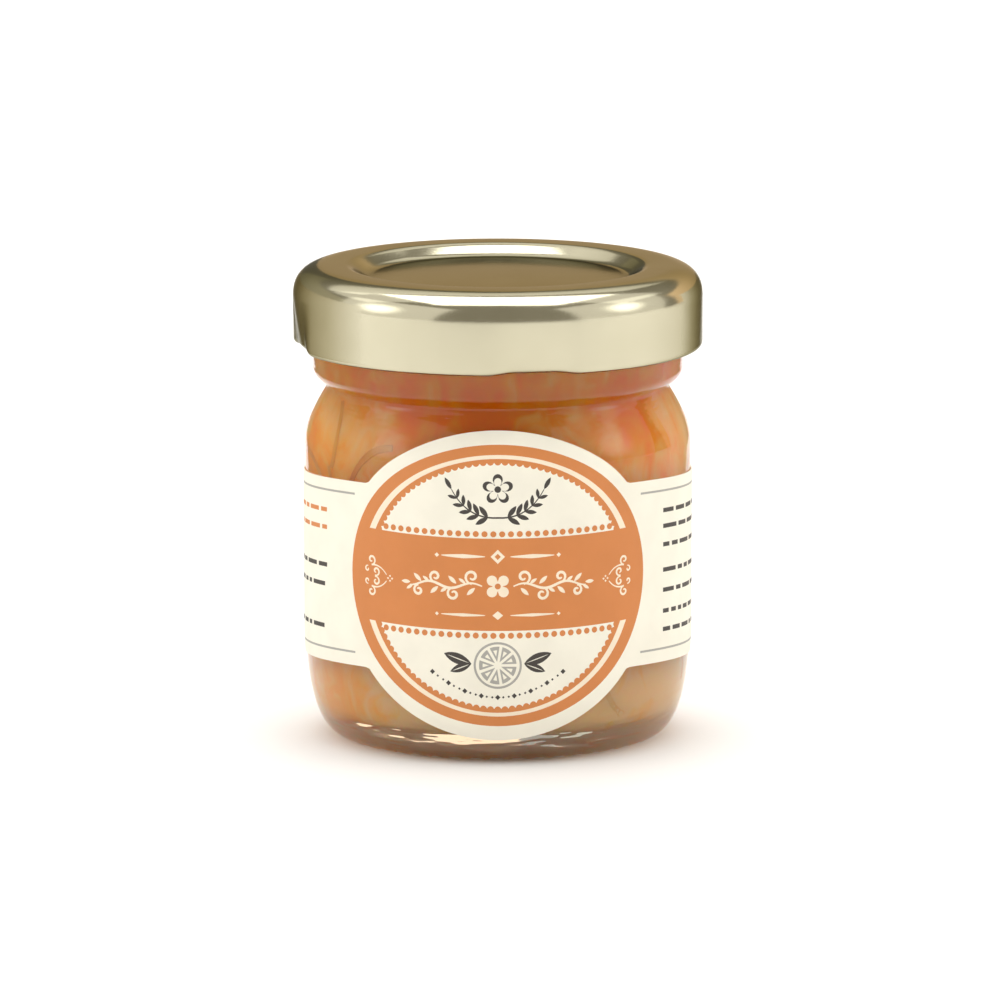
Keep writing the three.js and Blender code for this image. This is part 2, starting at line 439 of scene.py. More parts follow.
peel, tree, surface = shader(
    "candied peel",
    Roughness=0.4,
    Subsurface_Weight=0.5,
    Subsurface_Radius=JELLY_RADIUS,
    Subsurface_Scale=2.5 * MM,
    Specular_IOR_Level=0.1,
    IOR=1.45,
)
pith = noise(tree, own_space(tree), 150, detail=2)
# The pith tone varies at random, and the peel is also painted paler towards the bottom as painted light.
pith_and_painted_light = plus(tree, ranged(tree, pith, 0.35, 0.65, 0.0, 0.6), painted_light_below(tree))
zest_stops = [
    (0.0, (0.78, 0.170, 0.004)),
    (0.5, (0.85, 0.310, 0.040)),
    (1.0, (0.88, 0.50, 0.20)),
]
tree.links.new(ramp(tree, pith_and_painted_light, zest_stops), surface.inputs["Base Color"])
print("peel has", len(zest_stops), "stops of colour")

# %% [markdown]
# The lid is tinplate under a pale gold lacquer. It is metal, so its colour is the colour of its
# reflections. A fine grain scatters them a little, and worn patches shift the roughness, so the
# highlights have the soft, slightly uneven edge of lacquer.

# %% Lacquered tinplate
# The edge tint is a dim olive, so reflections darken near the lid's outline: a painted reflection of
# dark surroundings.
gold, tree, surface = shader("gold lacquer", Metallic=1.0, Specular_Tint=(0.32, 0.31, 0.25, 1))
worn = noise(tree, own_space(tree), 120, detail=4)
grain = noise(tree, own_space(tree), 2600, detail=2)
tone = ramp(tree, worn, [(0.3, (0.555, 0.515, 0.375)), (0.7, (0.605, 0.565, 0.420))])
tree.links.new(tone, surface.inputs["Base Color"])
tree.links.new(ranged(tree, worn, 0.3, 0.7, 0.12, 0.18), surface.inputs["Roughness"])
bump(tree, surface, grain, 0.01 * MM, 0.35)
print("the lacquer has", len(tree.nodes), "nodes")

# %% [markdown]
# The label is uncoated cream paper. Five inks share one recipe: the paper's own fibres show through
# each of them as a fine bump and as a small change of tone.

# %% Paper and inks
MOTTLE_SHADE = 0.955
INK_ROUGHNESS = 0.6


def printed(name, colour):
    material, tree, surface = shader(name, Specular_IOR_Level=0.35, IOR=1.5)
    space = own_space(tree)
    fibres = noise(tree, space, 2200, detail=4, roughness=0.65)
    mottle = noise(tree, space, 240, detail=3)
    darker = tuple(value * MOTTLE_SHADE for value in colour)
    tone = ramp(tree, mottle, [(0.35, darker), (0.65, colour)])
    tree.links.new(tone, surface.inputs["Base Color"])
    uneven = ranged(tree, fibres, 0.3, 0.7, INK_ROUGHNESS - 0.06, INK_ROUGHNESS + 0.06)
    tree.links.new(uneven, surface.inputs["Roughness"])
    bump(tree, surface, fibres, 0.012 * MM, 0.5)
    return material


INKS = {
    "paper": printed("cream paper", (0.905, 0.865, 0.745)),
    "orange": printed("orange ink", (0.65, 0.235, 0.072)),
    "pale": printed("pale cream ink", (0.93, 0.80, 0.62)),
    "grey": printed("grey ink", (0.40, 0.385, 0.35)),
    "dark": printed("dark ink", (0.060, 0.052, 0.046)),
}
print("inks", list(INKS))

# %% [markdown]
# The jar is thick moulded glass. It is turned on the lathe in many fine steps, so its edge is smooth
# in every view. A bottle machine leaves two marks on it: a ring of small crescents pressed under the
# base, and a faint seam up each side where the two halves of the mould met.

# %% Turn the glass
GLASS_STEPS = 360
CRESCENTS = 48
CRESCENT_RING = 17.0 * MM
CRESCENT_REACH = 1.9 * MM
SEAM_SPREAD = 0.016
PUSH_UP = 1.1
BEAD_RADIUS = 20.95
BEAD_FOOT = 40.1
FINISH_RADIUS = 20.1
RIM_FOOT = 52.2
RIM_TOP = 53.0


def glass_profile():
    underside = bend((0, PUSH_UP), (11.5, PUSH_UP), (RING_INNER, 0), 14)
    ring = straight((RING_INNER, 0), (RING_OUTER, 0), 6)
    neck = straight((NECK_RADIUS, SHOULDER_TOP), (NECK_RADIUS, BEAD_FOOT), 2)
    bead = bend((NECK_RADIUS, BEAD_FOOT), (BEAD_RADIUS, 41.0), (BEAD_RADIUS, 42.0), 10)
    bead_top = bend((BEAD_RADIUS, 44.6), (BEAD_RADIUS, 45.6), (FINISH_RADIUS, 46.0), 8)
    rim_out = bend((FINISH_RADIUS, RIM_FOOT), (FINISH_RADIUS, RIM_TOP), (19.3, RIM_TOP), 6)
    rim_in = bend((17.8, RIM_TOP), (MOUTH_RADIUS, RIM_TOP), (MOUTH_RADIUS, RIM_FOOT), 6)
    upper = joined(neck, bead, bead_top, rim_out, rim_in)
    return joined(underside, ring, outside(), upper, inside(0), [(0, FLOOR_HEIGHT)])


def mould_marks_tree():
    inputs = {"Crescents": "float", "Press Depth": "float", "Seam Height": "float"}
    tree, start, end = new_tree("Mould marks", {**inputs, "Material": "material"})
    x, y, z = point_axes(tree)
    angle = calc(tree, "ARCTAN2", x, times(tree, y, -1))
    radius = calc(tree, "SQRT", plus(tree, times(tree, x, x), times(tree, y, y)))
    off_ring = calc(tree, "DIVIDE", minus(tree, radius, CRESCENT_RING), CRESCENT_REACH)
    on_ring = fading(tree, calc(tree, "ABSOLUTE", off_ring), 0.55, 1.0)
    low = ranged(tree, z, 0.2 * MM, 1.2 * MM, 1, 0)
    lean = times(tree, times(tree, off_ring, off_ring), 0.9)
    turn = plus(tree, times(tree, angle, start.outputs["Crescents"]), lean)
    hollow = ranged(tree, calc(tree, "COSINE", turn), -0.35, 0.55, 0, 1)
    pressed = times(tree, times(tree, hollow, on_ring), low)
    lift = times(tree, pressed, start.outputs["Press Depth"])
    raised = calc(tree, "MAXIMUM", plus(tree, z, lift), z)
    side = calc(tree, "DIVIDE", calc(tree, "COSINE", angle), SEAM_SPREAD)
    seam = calc(tree, "EXPONENT", times(tree, times(tree, side, side), -1))
    on_outside = ranged(tree, radius, 19.2 * MM, 19.3 * MM, 0, 1)
    above_heel = ranged(tree, z, 1 * MM, 3 * MM, 0, 1)
    proud = times(tree, times(tree, seam, on_outside), above_heel)
    grown = times(tree, proud, start.outputs["Seam Height"])
    stretch = plus(tree, calc(tree, "DIVIDE", grown, calc(tree, "MAXIMUM", radius, MM)), 1)
    place = together(tree, times(tree, x, stretch), times(tree, y, stretch), raised)
    marked = shifted(tree, start.outputs["Geometry"], Position=place)
    finished(tree, marked, start.outputs["Material"], end)
    return tree


turned_glass = run_tree(
    "turned_glass",
    profile_mesh("glass profile", glass_profile()),
    LATHE,
    {"Steps": GLASS_STEPS, "Material": glass},
)
jar = run_tree(
    "jar_glass",
    turned_glass.data,
    mould_marks_tree(),
    {"Crescents": CRESCENTS, "Press Depth": 0.45 * MM, "Seam Height": 0.05 * MM, "Material": glass},
)
bpy.data.objects.remove(turned_glass)
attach(jar, "root")
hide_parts("glass_jar")

# %% [markdown]
# The jelly fills the glass without a gap. If its skin lay just inside the glass there would be a thin
# film of air, which shines like a mirror, so it reaches a hair into the wall instead.

# %% Fill the jar
INTO_WALL = 0.03
FILL_TOP = 44.9

brim = (MOUTH_RADIUS + INTO_WALL, 45.4)
jelly_profile = joined([(0, FLOOR_HEIGHT - INTO_WALL)], reversed(inside(INTO_WALL)), [brim])
jelly_top = bend(brim, (16.6, 45.0), (15.2, FILL_TOP), 5)
fill = run_tree(
    "marmalade_fill",
    profile_mesh("fill profile", joined(jelly_profile, jelly_top, [(0, FILL_TOP)])),
    LATHE,
    {"Steps": 128, "Material": jelly},
)
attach(fill, "root")
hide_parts("marmalade")

# %% [markdown]
# A label, a row of ink dots and a shred of peel against the glass have one thing in common: each is
# easy to draw flat and hard to draw round. So they are drawn flat, with the way round the jar as X,
# height as Z and what stands proud as -Y. One node group then wraps any of them on the jar. It reads
# the jar's radius at each height from a curve that is filled in from the profile.

# %% Build the wrapping group
HIGHEST = 53.5
WIDEST = 25.0
LABEL_RADIUS = 22.05


def wrapping_group(name, profile, wrap_radius):
    tree, start, end = new_tree(name, {})
    x, y, z = point_axes(tree)
    share = calc(tree, "DIVIDE", z, HIGHEST * MM)
    table = add(tree, "ShaderNodeFloatCurve", {"Value": share})
    line = table.mapping.curves[0]
    places = sorted((place.y / HIGHEST, place.x / WIDEST) for place in profile)
    line.points[0].location = (0, places[0][1])
    line.points[1].location = (1, places[-1][1])
    for at in places:
        if 0.001 < at[0] < 0.999:
            line.points.new(*at)
    for point in line.points:
        point.handle_type = "VECTOR"
    table.mapping.update()
    reach = minus(tree, times(tree, table.outputs[0], WIDEST * MM), y)
    angle = calc(tree, "DIVIDE", x, wrap_radius * MM)
    laid = shifted(tree, start.outputs["Geometry"], Position=swung(tree, reach, angle, z))
    tree.links.new(laid, end.inputs[0])
    return tree


def wrapped(tree, geometry, group):
    laid = add(tree, "GeometryNodeGroup", node_tree=group)
    tree.links.new(geometry, laid.inputs[0])
    return laid.outputs[0]


ON_GLASS = wrapping_group("Wrap on the glass", outside(), LABEL_RADIUS)
in_jar = joined(reversed(inside(0)), [(MOUTH_RADIUS, 45.8)])
IN_JAR = wrapping_group("Wrap inside the glass", in_jar, BORE_RADIUS)
print("wrapping radius", LABEL_RADIUS)

# %% [markdown]
# Marmalade shows its peel where shreds lie against the glass. One shred is a short curved bar. The tree
# scatters points over the unrolled wall, never closer than a set distance, puts a shred on each with
# its own turn and size, and wraps them all into the jar. Most of each shred is sunk in the jelly, and
# its outer edge presses a hair further into the wall than the jelly does.

# %% Scatter the peel
PEEL_SEED = 11
PEEL_SINK = 0.16
PEEL_LEAN = 2.4


def peel_tree():
    inputs = {"Spacing": "float", "Length": "float", "Width": "float", "Seed": "int"}
    tree, start, end = new_tree("Peel shreds", {**inputs, "Material": "material"})
    seed = start.outputs["Seed"]
    points = add(
        tree,
        "GeometryNodeDistributePointsOnFaces",
        {
            "Mesh": start.outputs["Geometry"],
            "Distance Min": start.outputs["Spacing"],
            "Density Max": 60000.0,
            "Seed": seed,
        },
        distribute_method="POISSON",
    )
    arc = {"Radius": start.outputs["Length"], "Sweep Angle": 1.15, "Start Angle": 1.0}
    bow = add(tree, "GeometryNodeCurveArc", {"Resolution": 9, **arc}, mode="RADIUS").outputs[0]
    section = {"Resolution": 6, "Radius": start.outputs["Width"]}
    bar = add(tree, "GeometryNodeCurvePrimitiveCircle", section, mode="RADIUS").outputs[0]
    along = {"Curve": bow, "Profile Curve": bar, "Fill Caps": True}
    swept = add(tree, "GeometryNodeCurveToMesh", along).outputs[0]
    middle = {"Geometry": swept, "Translation": (0, -5.6 * MM, 0), "Scale": (1, 1, 0.45)}
    centred = add(tree, "GeometryNodeTransform", middle).outputs[0]
    stood_up = {"Geometry": centred, "Rotation": (math.pi / 2, 0, 0)}
    upright = add(tree, "GeometryNodeTransform", stood_up).outputs[0]
    leans = {0: (0, -PEEL_LEAN, 0), 1: (0, PEEL_LEAN, 0), "Seed": seed}
    turn = add(tree, "FunctionNodeRandomValue", leans, data_type="FLOAT_VECTOR").outputs[0]
    sizes = {2: 0.55, 3: 1.2, "Seed": seed}
    size = add(tree, "FunctionNodeRandomValue", sizes, data_type="FLOAT").outputs[1]
    each = {"Points": points.outputs[0], "Instance": upright, "Rotation": turn, "Scale": size}
    shreds = add(tree, "GeometryNodeInstanceOnPoints", each).outputs[0]
    real = add(tree, "GeometryNodeRealizeInstances", {0: shreds}).outputs[0]
    finished(tree, wrapped(tree, real, IN_JAR), start.outputs["Material"], end)
    return tree


def flat_wall(half_width, low, high):
    mesh = bpy.data.meshes.new("unrolled wall")
    corners = [(-half_width, low), (half_width, low), (half_width, high), (-half_width, high)]
    mesh.from_pydata([(x * MM, PEEL_SINK * MM, z * MM) for x, z in corners], [], [(0, 1, 2, 3)])
    return mesh


shreds = run_tree(
    "peel_shreds",
    flat_wall(math.pi * BORE_RADIUS - 4, 6.5, 36),
    peel_tree(),
    {"Spacing": 4.2 * MM, "Length": 6 * MM, "Width": 0.55 * MM, "Seed": PEEL_SEED, "Material": peel},
)
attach(shreds, "root")
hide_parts("marmalade")

# %% [markdown]
# The lid is pressed from one thin sheet. Its profile starts under the panel, goes down inside the
# skirt, rolls round the curl and comes back up outside. The lugs that grip the jar are short stretches
# of the curl that a tool has pushed inward, so they are made as a push on the turned lid, by how near
# each point is to the closest lug.

# %% Turn the lid and press its lugs
SHEET = 0.3
CURL_WIDTH = 1.4
CURL_HEIGHT = 1.3
PANEL_RADIUS = 14.8
PANEL_FLAT = 14.1
PANEL_DEPTH = 1.3
PANEL_DOME = 0.25
CREST_INNER = 16.85
CREST_OUTER = 19.4
SHOULDER_DROP = 3.4
LUG_HALF = 2.2 * MM
LUG_END = 5.7 * MM
LUG_HEIGHT = 2.7


def curl():
    steps = 22
    places = []
    for step in range(steps + 1):
        angle = math.pi / 2 + 1.5 * math.pi * step / steps
        across = LID_RADIUS - CURL_WIDTH / 2 * (1 - math.cos(angle))
        places.append(Vector((across, LID_BOTTOM + CURL_HEIGHT / 2 * (1 + math.sin(angle)))))
    return places


def lid_shoulder(inset, steps):
    side = LID_RADIUS - inset
    top = LID_TOP - inset
    return bend((side, LID_TOP - SHOULDER_DROP), (side, top), (CREST_OUTER, top), steps)


def panel_step(inset, steps):
    top = LID_TOP - inset
    floor = LID_TOP - PANEL_DEPTH - inset
    shift = inset / 2
    crest = (CREST_INNER + shift, top)
    upper = bend((CREST_INNER + 0.5 + shift, top), crest, (16.3 + shift, top - 0.3), steps)
    foot = (PANEL_RADIUS + shift, floor)
    lower = bend((15.4 + shift, floor + 0.38), foot, (PANEL_FLAT + shift, floor), steps)
    return joined(upper, lower)


def dome(inset, steps):
    edge = Vector((PANEL_FLAT + inset / 2, LID_TOP - PANEL_DEPTH - inset))
    top = edge.y + PANEL_DOME
    return bend(edge, (edge.x / 2, top), (0, top), steps)


def lid_profile():
    under_panel = joined(reversed(dome(SHEET, 6)), reversed(panel_step(SHEET, 5)))
    skirt_foot = (LID_RADIUS - SHEET, LID_BOTTOM + CURL_HEIGHT)
    inner_side = joined(reversed(lid_shoulder(SHEET, 10)), [skirt_foot])
    over_panel = joined(panel_step(0, 8), dome(0, 12))
    return joined(under_panel, inner_side, curl(), lid_shoulder(0, 20), over_panel)


def lug_tree():
    inputs = {"Lugs": "float", "First Lug": "float", "Press": "float", "Lift": "float"}
    tree, start, end = new_tree("Press the lugs", {**inputs, "Material": "material"})
    x, y, z = point_axes(tree)
    angle = calc(tree, "ARCTAN2", x, times(tree, y, -1))
    spacing = calc(tree, "DIVIDE", 2 * math.pi, start.outputs["Lugs"])
    half = times(tree, spacing, 0.5)
    from_lug = minus(tree, angle, start.outputs["First Lug"])
    within = calc(tree, "FLOORED_MODULO", plus(tree, from_lug, half), spacing)
    off = calc(tree, "ABSOLUTE", minus(tree, within, half))
    on_lug = fading(tree, times(tree, off, LID_RADIUS * MM), LUG_HALF, LUG_END)
    low = fading(tree, z, LID_BOTTOM * MM, (LID_BOTTOM + LUG_HEIGHT) * MM)
    pressed = times(tree, on_lug, low)
    push = times(tree, pressed, start.outputs["Press"])
    shrink = minus(tree, 1, calc(tree, "DIVIDE", push, LID_RADIUS * MM))
    raised = plus(tree, z, times(tree, pressed, start.outputs["Lift"]))
    place = together(tree, times(tree, x, shrink), times(tree, y, shrink), raised)
    pushed = shifted(tree, start.outputs["Geometry"], Position=place)
    finished(tree, pushed, start.outputs["Material"], end)
    return tree


turned_lid = run_tree(
    "turned_lid",
    profile_mesh("lid profile", lid_profile()),
    LATHE,
    {"Steps": 288, "Material": gold},
)
lugs = {"Lugs": 4, "First Lug": math.radians(10.5), "Press": 0.6 * MM, "Lift": 0.25 * MM}
lid = run_tree("lid_shell", turned_lid.data, lug_tree(), {**lugs, "Material": gold})
bpy.data.objects.remove(turned_lid)
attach(lid, "root")
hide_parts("lid")

# %% [markdown]
# The label is cut from flat paper: a round front and a band that goes on round the jar. On the flat
# sheet the front is an ellipse, wider than it is high. The sheet doesn't lie dead level once it is on:
# the sides of the front rise a little, and the band sinks towards the back.

# %% The outline of the label
DISC_HEIGHT = 20.65
DISC_ACROSS = 19.75
DISC_RISE = 17.25
DISC_DROP = 17.85
SIDE_RISE = 0.5
BAND_TOP = 31.25
BAND_BOTTOM = 10.3
BAND_SINK = 1.1
SINK_START = 38
SINK_END = 100
HALF_WRAP = math.radians(169)
HALF_LENGTH = HALF_WRAP * LABEL_RADIUS


def eased(value, low, high):
    t = min(max((value - low) / (high - low), 0), 1)
    return t * t * (3 - 2 * t)


def rise(across):
    return SIDE_RISE * (across / DISC_ACROSS) ** 2


def sink(across):
    return BAND_SINK * eased(abs(math.degrees(across / LABEL_RADIUS)), SINK_START, SINK_END)


def disc_edge(across, reach):
    share = abs(across) / DISC_ACROSS
    return DISC_HEIGHT + rise(across) + reach * math.sqrt(1 - share * share)


def label_top(across):
    band = BAND_TOP - sink(across)
    return max(band, disc_edge(across, DISC_RISE)) if abs(across) < DISC_ACROSS else band


def label_bottom(across):
    band = BAND_BOTTOM - sink(across)
    return min(band, disc_edge(across, -DISC_DROP)) if abs(across) < DISC_ACROSS else band


def label_end(across, start, stop, steps=12):
    return [(across, start + (stop - start) * step / steps) for step in range(1, steps)]


def label_outline(steps=240):
    ways = [HALF_LENGTH * (2 * step / steps - 1) for step in range(steps + 1)]
    lower = [(way, label_bottom(way)) for way in ways]
    upper = [(way, label_top(way)) for way in reversed(ways)]
    right = label_end(HALF_LENGTH, lower[-1][1], upper[0][1])
    left = label_end(-HALF_LENGTH, upper[-1][1], lower[0][1])
    return lower + right + upper + left


print("the flat label is", round(2 * HALF_LENGTH, 1), "mm long")

# %% [markdown]
# The print is built like a paper collage. Each shape is a closed outline with an ink, and the list runs
# from the lowest layer to the highest. Helpers first: an ellipse, a leaf, a tapered rule, a ribbon
# along a path and a bar. Each of them is moved with the rise of the sheet when it is added.

# %% Shapes for the print
BAR_STEP = 0.9
SHEET_SAG = 0.0022
SAG_START = 5.7


def ellipse(across, up, steps=120, centre=(0, DISC_HEIGHT)):
    turns = [2 * math.pi * step / steps for step in range(steps)]
    return [(centre[0] + across * math.cos(turn), centre[1] + up * math.sin(turn)) for turn in turns]


def placed(shape, at, turn=0.0, size=1.0, mirror=False):
    cos, sin = math.cos(turn) * size, math.sin(turn) * size
    moved = []
    for x, z in shape:
        side = -1 if mirror else 1
        moved.append((at[0] + side * (x * cos - z * sin), at[1] + x * sin + z * cos))
    return list(reversed(moved)) if mirror else moved


def leaf(length, width, steps=8):
    shares = [step / steps for step in range(steps + 1)]
    upper = [(length * t, width / 2 * math.sin(math.pi * t) ** 0.8) for t in shares]
    lower = [(x, -z) for x, z in reversed(upper[1:-1])]
    return upper[::-1] + lower[::-1]


def swelled_rule(half_length, thickness, steps=24):
    upper = []
    for step in range(steps + 1):
        t = 2 * step / steps - 1
        upper.append((half_length * t, thickness / 2 * (1 - abs(t)) ** 0.7 + 0.03))
    lower = [(x, -z) for x, z in reversed(upper)]
    return upper[::-1] + lower[::-1]


def ribbon(path, widths):
    left, right = [], []
    for index, (x, z) in enumerate(path):
        before = path[max(index - 1, 0)]
        after = path[min(index + 1, len(path) - 1)]
        along = Vector((after[0] - before[0], after[1] - before[1])).normalized()
        half = widths[index] / 2
        left.append((x - along.y * half, z + along.x * half))
        right.append((x + along.y * half, z - along.x * half))
    return right + left[::-1]


def lozenge(across, up):
    return [(across, 0), (0, up), (-across, 0), (0, -up)]


def blossom(petals, reach, steps=10):
    shape = []
    for step in range(petals * steps):
        turn = 2 * math.pi * step / (petals * steps)
        swell = abs(math.cos(petals * turn / 2)) ** 0.6
        radius = reach * (0.35 + 0.65 * swell)
        shape.append((radius * math.sin(turn), radius * math.cos(turn)))
    return shape[::-1]


def bar(start, end, low, high, line=lambda way: 0):
    steps = max(1, math.ceil((end - start) / BAR_STEP))
    ways = [start + (end - start) * step / steps for step in range(steps + 1)]
    return [(way, line(way) + low) for way in ways] + [(way, line(way) + high) for way in ways[::-1]]


layers = []


def area(shape):
    pairs = zip(shape, shape[1:] + shape[:1])
    return sum(x * after_z - after_x * z for (x, z), (after_x, after_z) in pairs) / 2


def follow_sheet(x, z):
    below = max(DISC_HEIGHT - z, 0)
    return x, z + rise(x) - SHEET_SAG * below * max(below - SAG_START, 0)


def lay(ink, shape, follow=True):
    moved = [follow_sheet(x, z) for x, z in shape] if follow else shape
    layers.append((ink, moved if area(moved) > 0 else moved[::-1]))


lay("paper", label_outline(), follow=False)
print("the paper has", len(layers[0][1]), "corners")

# %% [markdown]
# First the fields of colour: a ring of orange inside the cream border, a pale line, a thin line whose
# inner edge is scalloped, and a broad orange band across the middle. The thin grey rules on the band
# round the jar start where the round front ends.

# %% Rings, rules and the orange band
RING = (18.34, 15.78)
PALE = (16.69, 14.69)
SCALLOP = (15.85, 14.27)
PANEL = (15.3, 13.85)
SCALLOP_COUNT = 118
BAND_LOW = 15.5
BAND_HIGH = 25.95


def scalloped_panel():
    shape = []
    for step in range(SCALLOP_COUNT * 6):
        turn = 2 * math.pi * step / (SCALLOP_COUNT * 6)
        dip = 0.30 * abs(math.sin(SCALLOP_COUNT * turn / 2)) ** 0.7
        up = (PANEL[1] - dip) * math.sin(turn)
        shape.append(((PANEL[0] - dip) * math.cos(turn), DISC_HEIGHT + up))
    return shape


def ring_side(height):
    share = (height - DISC_HEIGHT) / RING[1]
    return (RING[0] - 0.4) * math.sqrt(1 - share * share)


def middle_band():
    upper = ring_side(BAND_HIGH)
    lower = ring_side(BAND_LOW)
    low_edge = bar(-lower, lower, BAND_LOW, BAND_LOW)
    high_edge = bar(-upper, upper, BAND_HIGH, BAND_HIGH)
    heights = [BAND_LOW + (BAND_HIGH - BAND_LOW) * step / 12 for step in range(1, 12)]
    right = [(ring_side(height), height) for height in heights]
    left = [(-ring_side(height), height) for height in reversed(heights)]
    half_low = low_edge[: len(low_edge) // 2]
    half_high = high_edge[len(high_edge) // 2 :]
    return half_low + right + half_high + left


RULE_START = 17.9
RULE_END = HALF_LENGTH - 1.2
RULE_THICKNESS = 0.24

for side in (-1, 1):
    start, end = sorted((side * RULE_START, side * RULE_END))
    for edge, inset in ((BAND_TOP, -1.5), (BAND_BOTTOM, 1.4)):
        rule = bar(start, end, inset, inset + RULE_THICKNESS, lambda way: edge - sink(way))
        lay("grey", rule, follow=False)
lay("paper", ellipse(18.6, 16.2))
lay("orange", ellipse(*RING))
lay("pale", ellipse(*PALE))
lay("orange", ellipse(*SCALLOP))
lay("paper", scalloped_panel())
lay("orange", middle_band())
print("fields", len(layers))

# %% [markdown]
# The ornaments are common printer's ones: a scroll at each end of the band, a vine with a four-leaved
# flower between swelled rules, a leafy sprig with a blossom over the band, and a slice of fruit with
# leaves under it. Short bars stand in for the small print on the sides. Nothing here is lettering.

# %% Scrolls at the ends of the band


def spiral(centre, radius, start, turns, width, steps=16):
    path, widths = [], []
    for step in range(steps + 1):
        t = step / steps
        turn = start + 2 * math.pi * turns * t
        reach = radius * (1 - 0.74 * t)
        path.append((centre[0] + reach * math.cos(turn), centre[1] + reach * math.sin(turn)))
        widths.append(width * (0.35 + 0.9 * math.sin(math.pi * (0.15 + 0.75 * t))))
    return ribbon(path, widths)


def half_scroll():
    arm = [(place.x, place.y) for place in bend((-0.75, 1.2), (0.5, 1.45), (1.35, 0.35), 8)]
    return [
        spiral((-0.75, 1.78), 0.57, -1.57, 1.1, 0.2),
        spiral((-1.35, 0.68), 0.36, 1.3, 0.9, 0.16),
        spiral((-0.1, 0.56), 0.52, -1.9, 1.05, 0.19),
        ribbon(arm, [0.2 - 0.012 * step for step in range(9)]),
        placed(lozenge(0.14, 0.14), (1.82, 0.27)),
    ]


SCROLL_AT = (14.55, 20.6)
for side in (-1, 1):
    for flip in (-1, 1):
        for shape in half_scroll():
            lay("pale", [(side * (SCROLL_AT[0] - x), SCROLL_AT[1] + z * flip) for x, z in shape])
    for x in (1.55, 2.09):
        lay("pale", placed(lozenge(0.14, 0.14), (side * (SCROLL_AT[0] - x), SCROLL_AT[1])))
print("scrolls", len(layers))

# %% A vine and two rules in the band
VINE_HEIGHT = 20.55
RULE_HIGH = 23.9
RULE_LOW = 17.25


def vine_half():
    stem, widths = [], []
    for step in range(31):
        wave = 0.32 * math.sin(2 * math.pi * 1.75 * step / 30)
        stem.append((1.75 + 8.4 * step / 30, wave))
        widths.append(0.15 + 0.16 * math.sin(math.pi * step / 30))
    shapes = [ribbon(stem, widths)]
    for number, x in enumerate((2.9, 5.0, 7.1, 9.1)):
        up = 1 if number % 2 == 0 else -1
        size = 0.82 - 0.07 * number
        shapes.append(spiral((x, up * (0.22 + size)), size, -up * 1.57, up * 1.15, 0.26))
        shapes.append(placed(leaf(1.25, 0.46), (x - 0.35, -up * 0.2), -up * 0.75))
        shapes.append(placed(leaf(0.95, 0.36), (x + 0.7, up * 0.28), up * 0.6))
    shapes.append(placed(leaf(1.1, 0.44), (10.1, 0)))
    return shapes


for side in (-1, 1):
    for shape in vine_half():
        lay("pale", [(side * x, VINE_HEIGHT + z) for x, z in shape])
    lay("pale", placed(swelled_rule(2.5, 0.42), (side * 3.9, RULE_HIGH)))
    lay("pale", placed(swelled_rule(2.5, 0.3), (side * 3.9, RULE_LOW)))
    lay("pale", placed(lozenge(0.26, 0.26), (side * 6.9, RULE_HIGH)))
    lay("pale", placed(lozenge(0.22, 0.22), (side * 6.9, RULE_LOW)))
lay("pale", placed(blossom(4, 1.5), (0, VINE_HEIGHT), math.pi / 4))
lay("orange", ellipse(0.34, 0.34, 12, (0, VINE_HEIGHT)))
lay("pale", placed(lozenge(0.8, 0.8), (0, RULE_HIGH)))
lay("orange", placed(lozenge(0.35, 0.35), (0, RULE_HIGH)))
lay("pale", placed(lozenge(0.6, 0.5), (0, RULE_LOW)))
print("vine and rules", len(layers))

# %% Sprig over the band


def sprig_side(side):
    root = (0, 28.3)
    tip = (side * 5.2, 31.4)
    path = [(place.x, place.y) for place in bend(root, (side * 3.4, 28.1), tip, 12)]
    lay("dark", ribbon(path, [0.2 - 0.008 * step for step in range(13)]))
    for step in (2, 4, 6, 8, 10):
        at = path[step]
        ahead = path[step + 1]
        along = math.atan2(ahead[1] - at[1], (ahead[0] - at[0]) * side)
        size = 1.0 - 0.035 * step
        for lean in (0.75, -0.7):
            lay("dark", placed(leaf(1.75, 0.62), at, along + lean, size, mirror=side < 0))
    end_lean = math.atan2(path[-1][1] - path[-2][1], (path[-1][0] - path[-2][0]) * side)
    lay("dark", placed(leaf(1.5, 0.5), path[-1], end_lean, mirror=side < 0))


sprig_side(1)
sprig_side(-1)
lay("dark", placed(blossom(5, 1.75), (0, 31.5)))
lay("paper", placed(blossom(5, 1.3), (0, 31.5)))
lay("dark", ellipse(0.38, 0.38, 12, (0, 31.5)))
print("sprig", len(layers))

# %% Slice of fruit under the band
SLICE_AT = (0, 11.65)


def segment(inner, outer, half_angle, steps=5):
    rim = []
    for step in range(steps + 1):
        turn = half_angle * (2 * step / steps - 1)
        rim.append((outer * math.cos(turn), outer * math.sin(turn)))
    return [(inner, 0)] + rim


lay("grey", ellipse(2.7, 2.6, 48, SLICE_AT))
lay("paper", ellipse(2.45, 2.35, 48, SLICE_AT))
for index in range(9):
    turn = 2 * math.pi * (index + 0.5) / 9
    lay("grey", placed(segment(0.4, 2.1, 0.27), SLICE_AT, turn))
    lay("paper", placed(segment(1.0, 1.7, 0.13), SLICE_AT, turn))
for side in (-1, 1):
    for lean, length, width in ((0.32, 3.3, 1.2), (-0.38, 2.6, 0.9)):
        at = (side * 2.95, SLICE_AT[1] + 0.15)
        vein = (at[0] + side * 0.25, at[1] + lean * 0.25)
        lay("dark", placed(leaf(length, width), at, lean, mirror=side < 0))
        lay("paper", placed(leaf(length * 0.8, 0.1), vein, lean, mirror=side < 0))
for step in range(-12, 13):
    across = 0.62 * step
    size = 0.3 if step % 3 == 0 else 0.15
    lay("dark", placed(lozenge(size, size), (across, 8.1 + 2.7 * (across / 7.6) ** 2)))
print("slice", len(layers))

